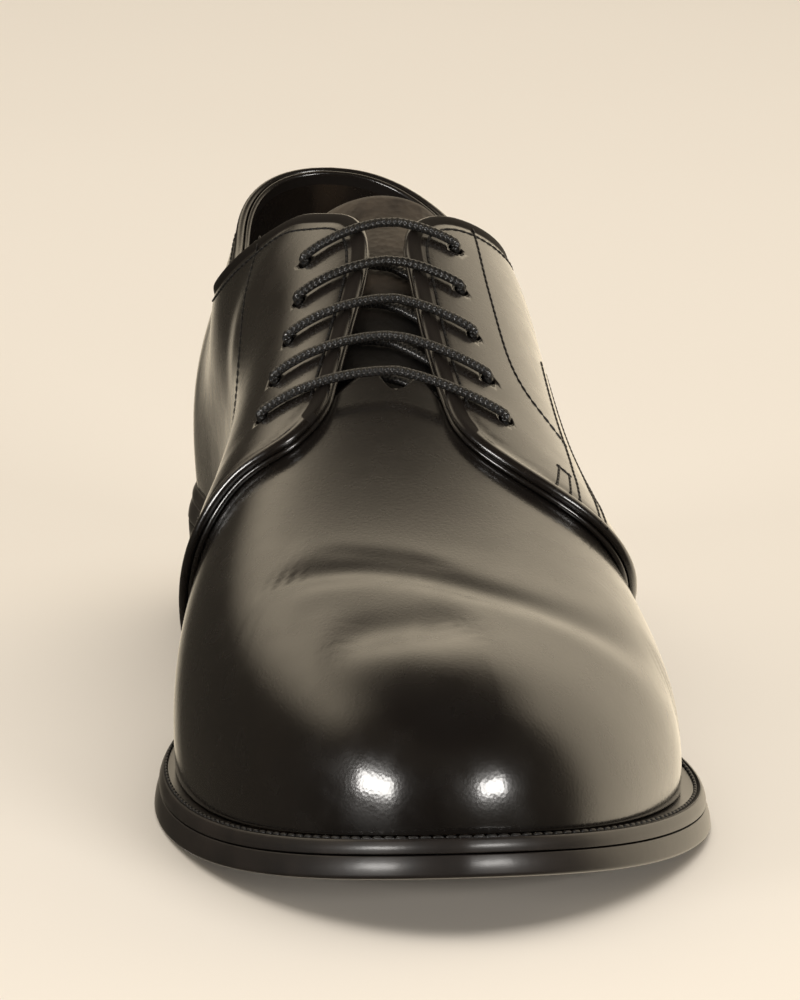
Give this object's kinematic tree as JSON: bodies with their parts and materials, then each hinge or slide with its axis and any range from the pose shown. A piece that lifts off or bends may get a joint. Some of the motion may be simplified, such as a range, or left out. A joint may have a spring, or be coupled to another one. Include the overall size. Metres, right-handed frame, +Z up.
{
  "type": "derby shoe",
  "caption": "Left derby shoe with open-laced quarters over a plain vamp, a separate tongue, a round cord lace, a welted leather sole and a stacked heel.",
  "frame": {"origin": "centre of the outsole's footprint, on the ground plane that heel and forefoot rest on", "axes": "+Z up, -Y towards the toe, +Y towards the heel, +X towards the outer side of this left shoe"},
  "size_m": [0.1101, 0.3036, 0.1076],
  "materials": {
    "upper_leather": "glossy black, polished",
    "tongue_leather": "satin brown-black",
    "insole_leather": "matt tan",
    "welt_leather": "satin black",
    "sole_leather": "satin black edge",
    "heel_rubber": "matt black",
    "lace_cotton": "waxed black cord"
  },
  "bodies": {
    "root": {"outsole": "sole_leather", "welt": "welt_leather", "heel_stack": "sole_leather", "heel_top_piece": "heel_rubber", "insole": "insole_leather", "upper": "upper_leather", "tongue": "tongue_leather", "lace": "lace_cotton"}
  },
  "joints": []
}
